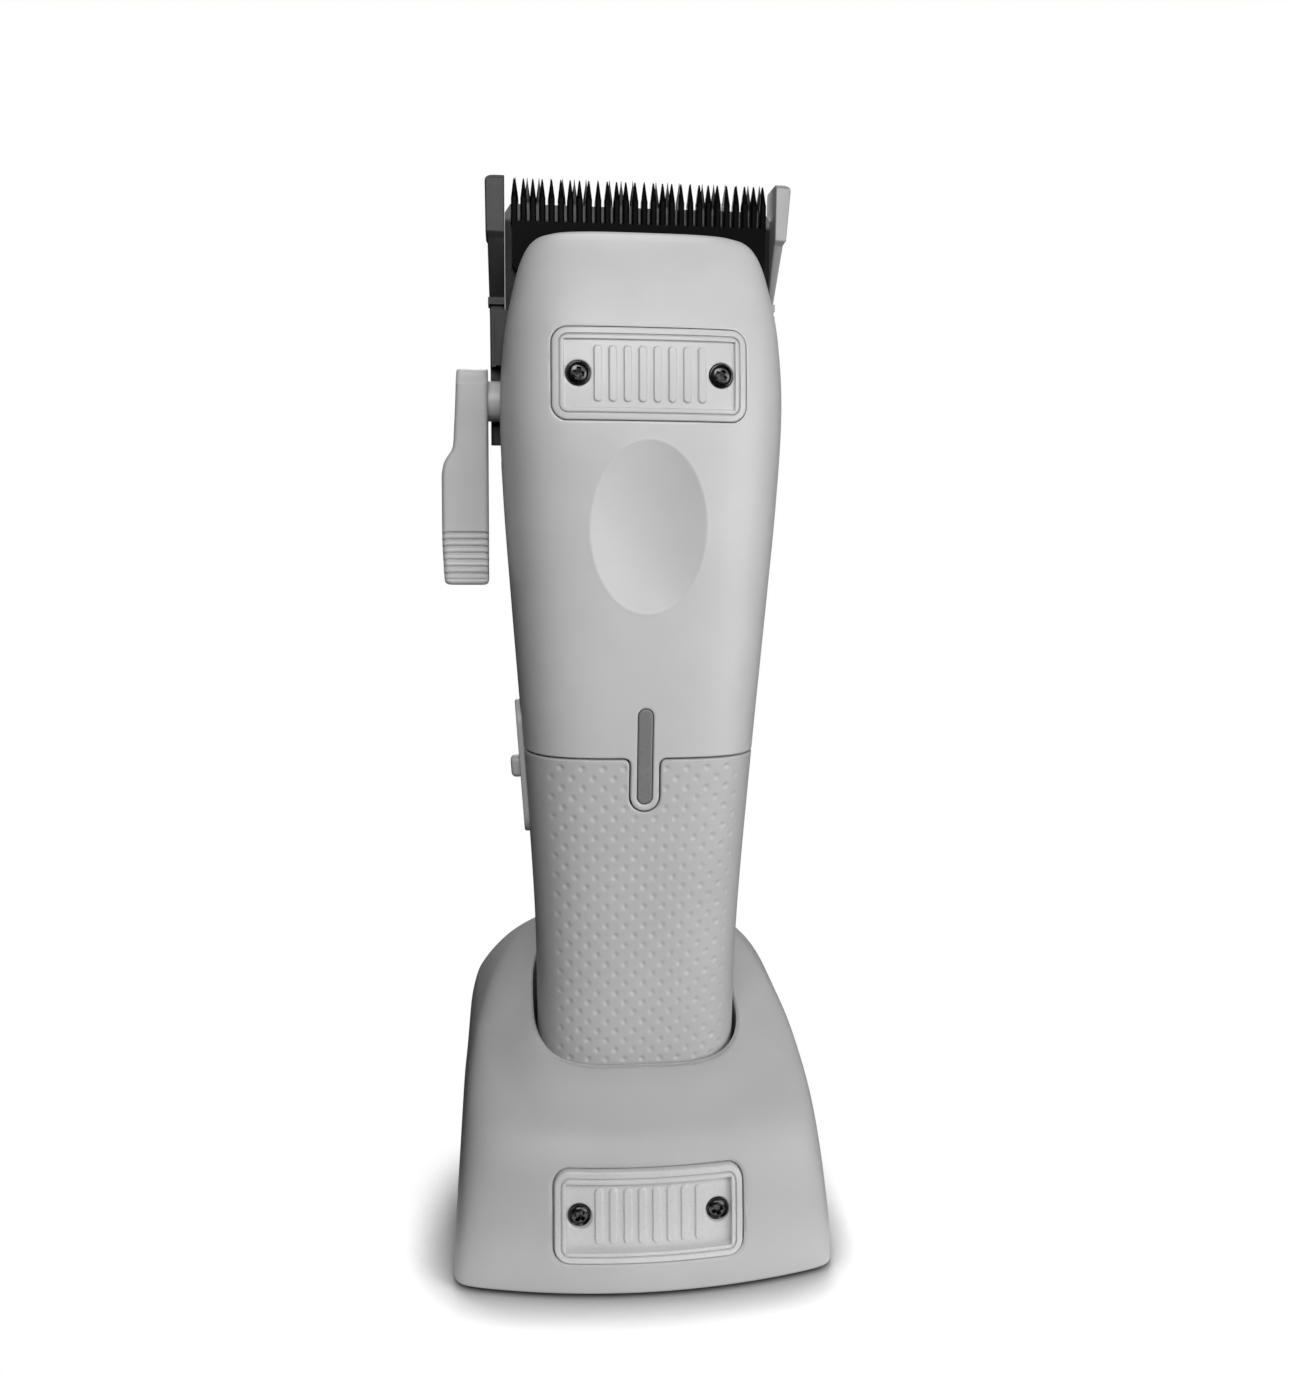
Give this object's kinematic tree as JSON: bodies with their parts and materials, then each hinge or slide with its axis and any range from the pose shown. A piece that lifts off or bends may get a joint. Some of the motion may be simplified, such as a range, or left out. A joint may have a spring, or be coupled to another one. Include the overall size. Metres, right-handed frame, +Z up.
{
  "type": "hair clipper with charging dock",
  "caption": "Cordless hair clipper with a taper lever and a dimpled grip, standing blade up in its arched charging dock.",
  "frame": {"origin": "middle of the dock's flat underside, on the table", "axes": "+Z up along the clipper's length, -Y to the front with the nameplates, +X to the right as seen from the front (the taper lever is at -X)"},
  "size_m": [0.0682, 0.076, 0.1872],
  "materials": {
    "casing_plastic": "light grey, satin",
    "grip_plastic": "light grey, satin, dimpled on the front",
    "dock_plastic": "grey, satin",
    "plate_plastic": "light grey, satin",
    "lamp_lens": "mid grey, smooth, unlit",
    "black_plastic": "black, satin",
    "pad_rubber": "black, matt",
    "board": "green circuit board",
    "battery_wrap": "blue shrink sleeve",
    "steel": "bare steel, fine satin",
    "black_steel": "black coated steel",
    "brass": "brass, satin"
  },
  "bodies": {
    "dock": {"dock_shell": "dock_plastic", "dock_base_plate": "black_plastic", "dock_rubber_pad": "pad_rubber", "dock_base_screw_1": "steel", "dock_base_screw_2": "steel", "dock_base_screw_3": "steel", "dock_base_screw_4": "steel", "dock_nameplate": "plate_plastic", "dock_plate_screw_left": "black_steel", "dock_plate_screw_right": "black_steel", "contact_block": "black_plastic", "contact_spring_left": "steel", "contact_spring_right": "steel", "dock_circuit_board": "board", "charging_inlet": "steel", "dock_ballast": "steel"},
    "contact_pin_left": {"contact_pin_left": "brass"},
    "contact_pin_right": {"contact_pin_right": "brass"},
    "clipper": {"front_cover": "casing_plastic", "rear_cover": "casing_plastic", "grip_front": "grip_plastic", "grip_rear": "grip_plastic", "end_cap": "grip_plastic", "nameplate": "plate_plastic", "nameplate_screw_left": "black_steel", "nameplate_screw_right": "black_steel", "battery_lamp": "lamp_lens", "housing_screw_1": "black_steel", "housing_screw_2": "black_steel", "housing_screw_3": "black_steel", "housing_screw_4": "black_steel", "switch_bezel": "casing_plastic", "switch_module": "black_plastic", "battery_cell": "battery_wrap", "battery_cradle": "black_plastic", "circuit_board": "board", "motor": "steel", "head_frame": "black_plastic", "charge_contact_left": "brass", "charge_contact_right": "brass"},
    "power_switch": {"switch_knob": "casing_plastic"},
    "rotor": {"motor_shaft": "steel", "drive_cam": "brass"},
    "blade_carrier": {"fixed_blade": "black_steel", "blade_bracket": "steel", "blade_screw_left": "steel", "blade_screw_right": "steel", "tension_spring": "steel"},
    "cutter": {"moving_blade": "black_steel", "drive_fork": "black_plastic"},
    "taper_lever": {"taper_lever": "casing_plastic", "lever_cam_shaft": "steel", "lever_screw": "black_steel"}
  },
  "joints": [
    {"name": "lift_off", "type": "slide", "parent": "dock", "child": "clipper", "axis": [0, 0.0767, 0.9971], "range_m": [0, 0.05]},
    {"name": "left_pin_press", "type": "slide", "parent": "dock", "child": "contact_pin_left", "axis": [0, 0.0767, 0.9971], "range_m": [-0.0012, 0], "stiffness_N_per_m": 400, "deforming": ["contact_spring_left"]},
    {"name": "right_pin_press", "type": "slide", "parent": "dock", "child": "contact_pin_right", "axis": [0, 0.0767, 0.9971], "range_m": [-0.0012, 0], "stiffness_N_per_m": 400, "deforming": ["contact_spring_right"]},
    {"name": "switch_slide", "type": "slide", "parent": "clipper", "child": "power_switch", "axis": [-0.0733, 0.0765, 0.9944], "range_m": [0, 0.004]},
    {"name": "motor_spin", "type": "hinge", "parent": "clipper", "child": "rotor", "pos_m": [0, 0.00098, 0.14392], "axis": [0, 0.0767, 0.9971], "continuous": true},
    {"name": "taper_turn", "type": "hinge", "parent": "clipper", "child": "taper_lever", "pos_m": [-0.0295, 0.00598, 0.14885], "axis": [-1, 0, 0], "range_deg": [0, 45]},
    {"name": "blade_slide", "type": "slide", "parent": "clipper", "child": "blade_carrier", "axis": [0, 0.0767, 0.9971], "range_m": [-0.00163, 0]},
    {"name": "cutter_stroke", "type": "slide", "parent": "clipper", "child": "cutter", "axis": [1, 0, 0], "range_m": [-0.001, 0.001]}
  ],
  "couplings": [
    {"joint": "taper_turn", "follows": "blade_slide", "rad_per_m": -481.93}
  ]
}
